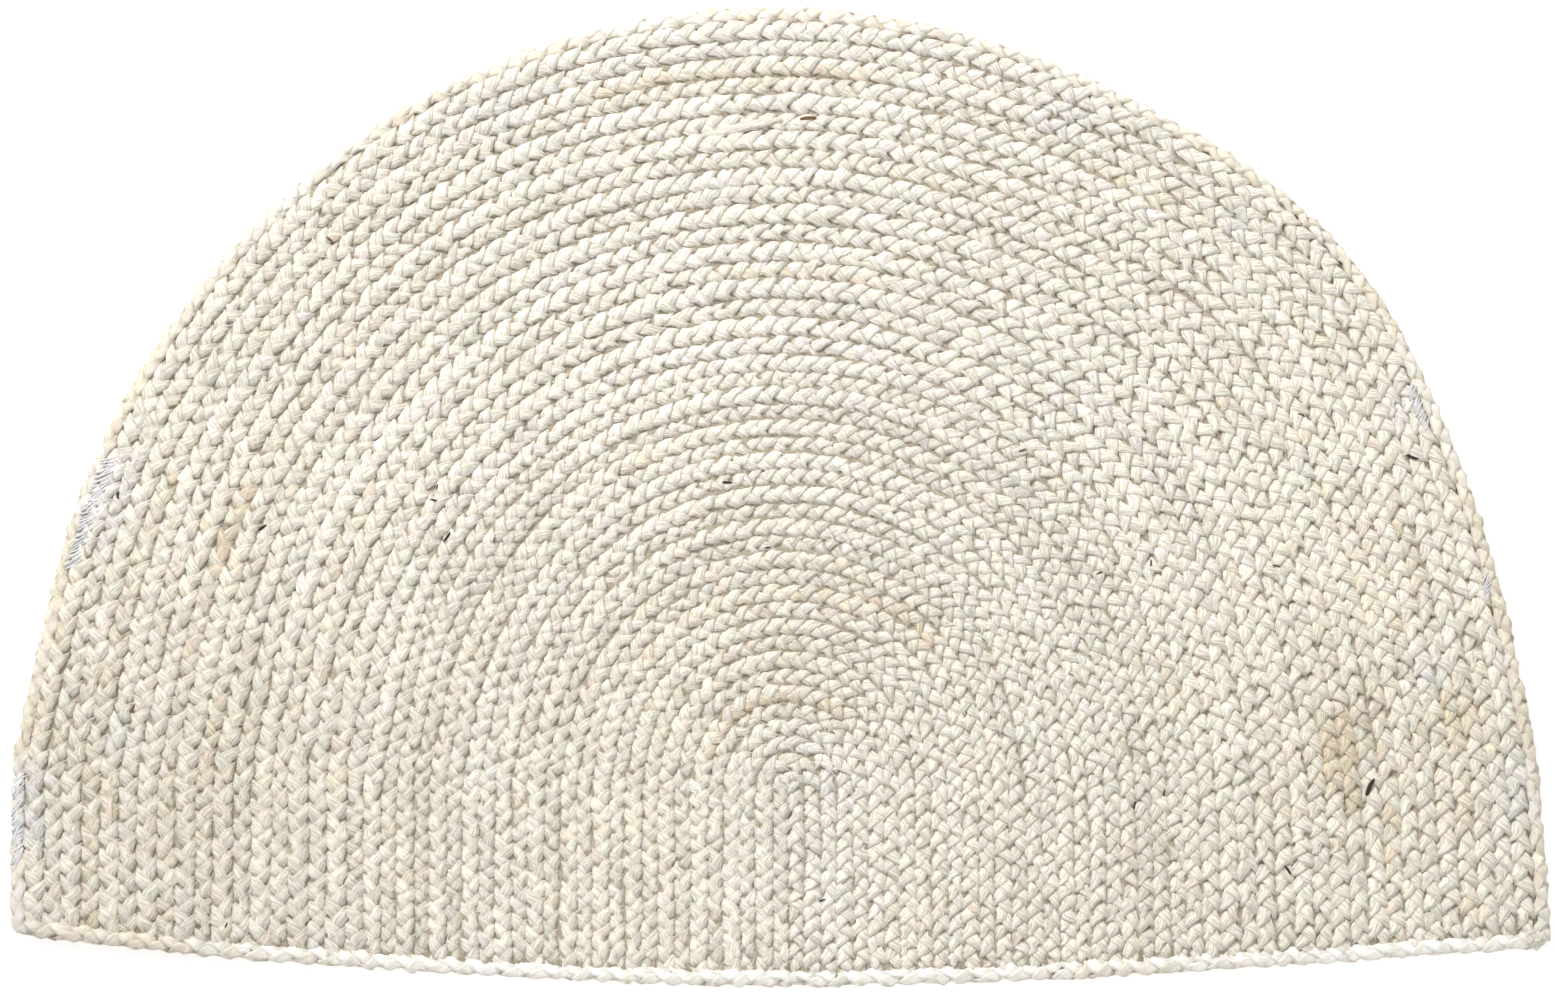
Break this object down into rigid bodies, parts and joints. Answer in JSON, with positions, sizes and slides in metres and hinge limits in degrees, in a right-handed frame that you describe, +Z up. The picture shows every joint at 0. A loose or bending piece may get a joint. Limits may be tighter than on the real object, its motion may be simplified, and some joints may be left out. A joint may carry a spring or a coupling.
{
  "type": "half-round braided jute rug",
  "caption": "Half-round floor rug of flat jute braid, wound in U-shaped rows, sewn side to side and finished with a whiter braid sewn all round.",
  "frame": {"origin": "middle of the outline's box in plan, on the floor face", "axes": "+X along the cut edge, +Y from the cut edge towards the arc, +Z up from the floor"},
  "size_m": [0.8996, 0.5934, 0.0094],
  "materials": {
    "jute_braid": "pale cream jute strands with fine lengthwise fibres, matte",
    "border_jute": "bleached, nearly white jute strands with fine lengthwise fibres, matte"
  },
  "bodies": {
    "root": {"rug_field": "jute_braid", "border_braid": "border_jute"}
  },
  "joints": []
}
